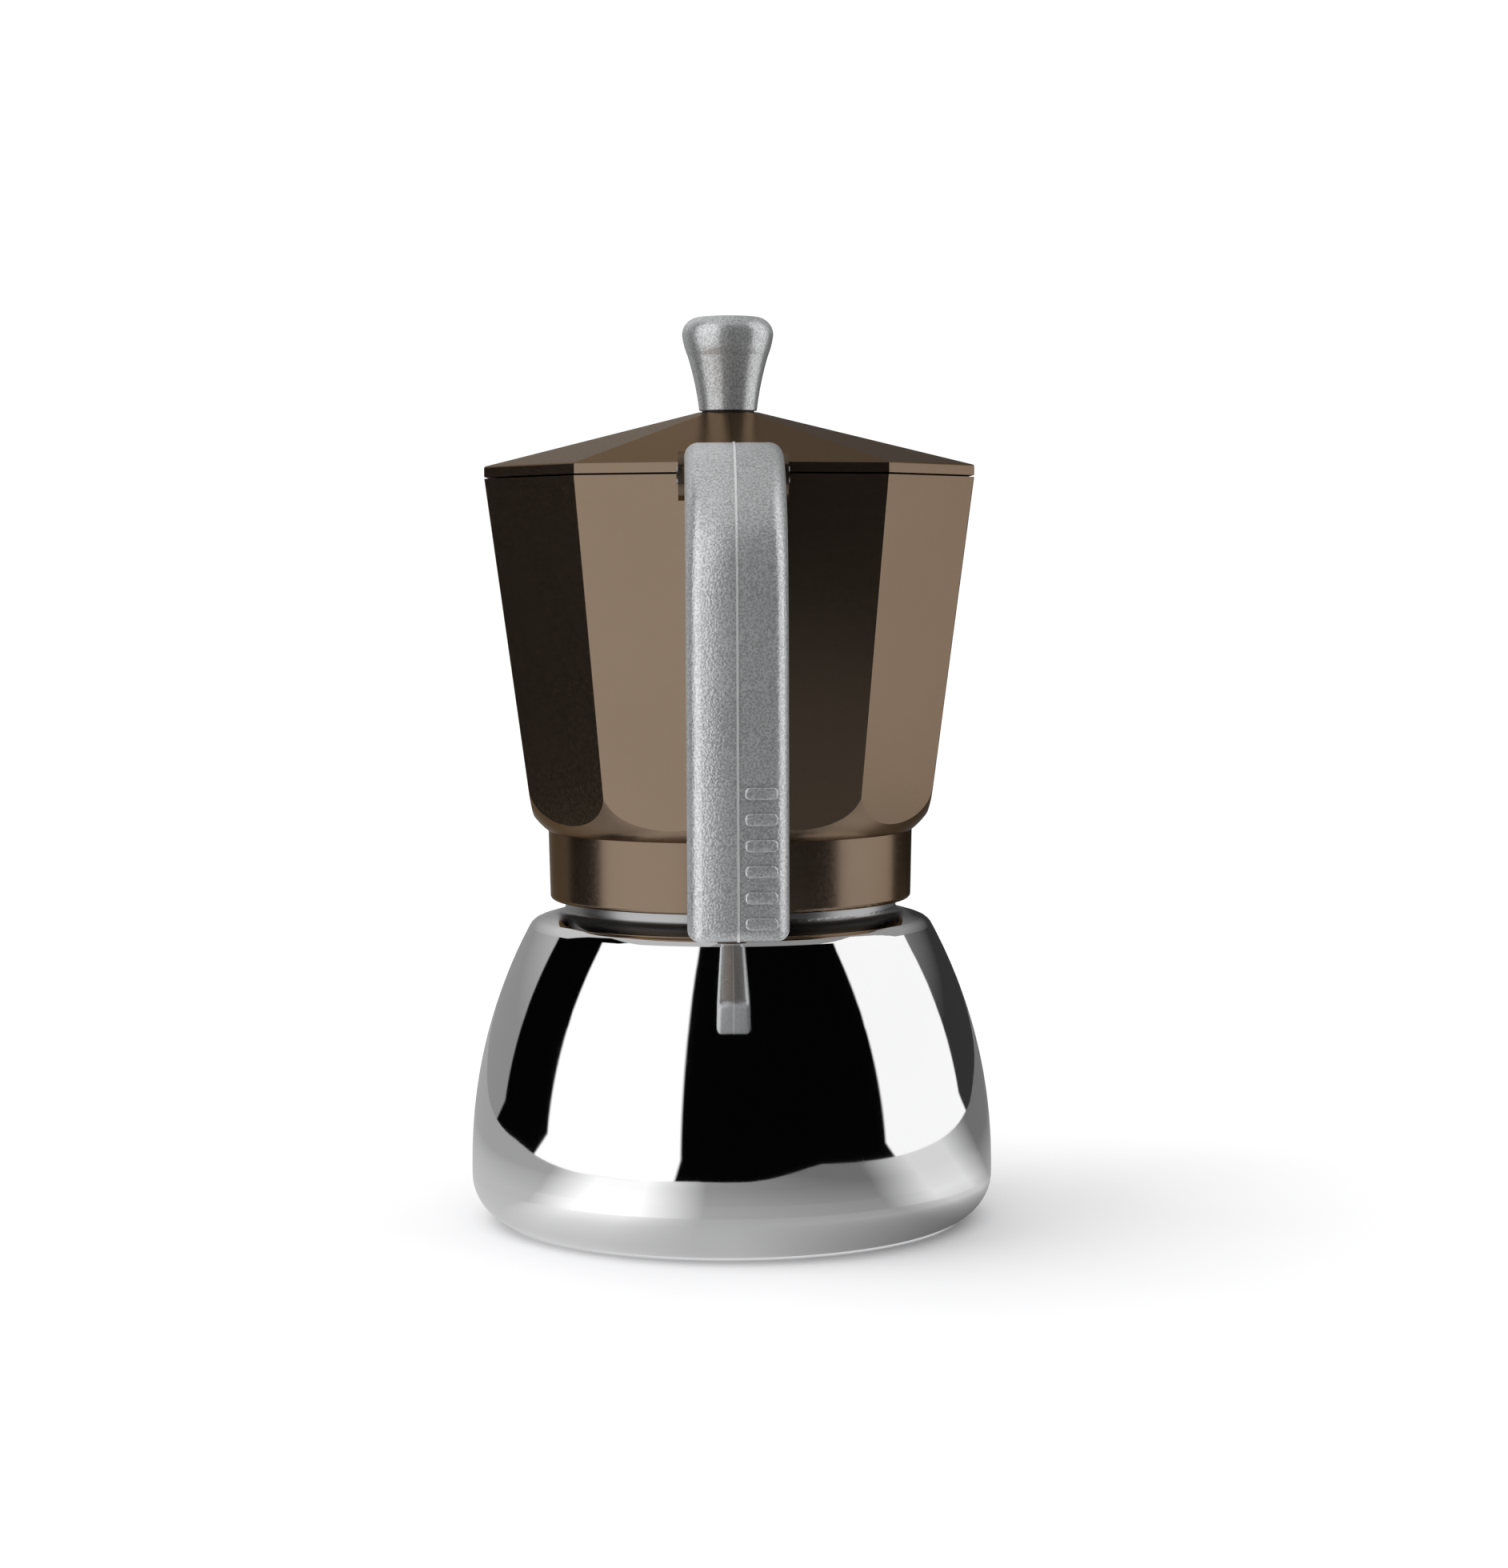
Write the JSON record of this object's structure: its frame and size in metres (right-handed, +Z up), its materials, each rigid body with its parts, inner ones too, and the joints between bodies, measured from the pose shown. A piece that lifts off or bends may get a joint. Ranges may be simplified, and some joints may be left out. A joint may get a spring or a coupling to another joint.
{
  "type": "moka pot",
  "caption": "Stovetop moka pot: bell-shaped steel boiler, threaded ten-sided collector with spout, hinged lid with knob, side handle, funnel, sieve, seal and safety valve.",
  "frame": {"origin": "centre of the boiler's base, on the plane the pot stands on", "axes": "+Z up along the pot's axis, +Y towards the spout, handle and lid hinge at -Y, +X across"},
  "size_m": [0.1048, 0.1543, 0.1803],
  "materials": {
    "polished_steel": "mirror polished stainless steel",
    "brown_paint": "semi-gloss metallic brown paint over cast aluminium",
    "silver_plastic": "satin silver metallic moulded plastic",
    "bare_aluminium": "satin turned aluminium",
    "sieve_steel": "punched stainless sheet",
    "silicone": "matte silicone",
    "black_rubber": "matte black",
    "brass": "turned brass",
    "valve_fibre": "red fibre",
    "valve_steel": "turned steel",
    "spring_steel": "drawn wire",
    "pin_steel": "ground steel"
  },
  "bodies": {
    "boiler": {"boiler": "polished_steel", "valve_body": "brass", "valve_washer": "valve_fibre", "valve_nut": "brass", "valve_cap": "brass", "valve_spring": "spring_steel"},
    "valve_pin": {"valve_pin": "valve_steel"},
    "funnel": {"funnel_basket": "bare_aluminium", "funnel_stem": "bare_aluminium", "funnel_sieve": "sieve_steel"},
    "seal": {"seal_ring": "silicone", "filter_plate": "sieve_steel"},
    "collector": {"collector": "brown_paint", "chimney": "bare_aluminium", "chimney_cap": "bare_aluminium", "handle": "silver_plastic", "handle_pin": "pin_steel", "hinge_pin": "pin_steel"},
    "lid": {"lid": "brown_paint", "knob_washer": "black_rubber", "lid_knob": "silver_plastic", "knob_screw": "pin_steel"}
  },
  "joints": [
    {"name": "collector_rise", "type": "slide", "parent": "boiler", "child": "seal", "axis": [0, 0, 1], "range_m": [0, 0.096]},
    {"name": "collector_turn", "type": "hinge", "parent": "seal", "child": "collector", "pos_m": [0, 0, 0.07], "axis": [0, 0, 1], "range_deg": [0, 8640]},
    {"name": "funnel_lift", "type": "slide", "parent": "boiler", "child": "funnel", "axis": [0, 0, 1], "range_m": [0, 0.072]},
    {"name": "lid_hinge", "type": "hinge", "parent": "collector", "child": "lid", "pos_m": [0, -0.054, 0.1476], "axis": [1, 0, 0], "range_deg": [0, 100]},
    {"name": "valve_lift", "type": "slide", "parent": "boiler", "child": "valve_pin", "axis": [0, 1, 0], "range_m": [0, 0.0016], "stiffness_N_per_m": 400, "springref_m": -0.002, "deforming": ["valve_spring"]}
  ],
  "couplings": [
    {"joint": "collector_rise", "follows": "collector_turn", "m_per_rad": 0.00063662},
    {"joint": "funnel_lift", "follows": "collector_turn", "m_per_rad": 0.00047746}
  ]
}
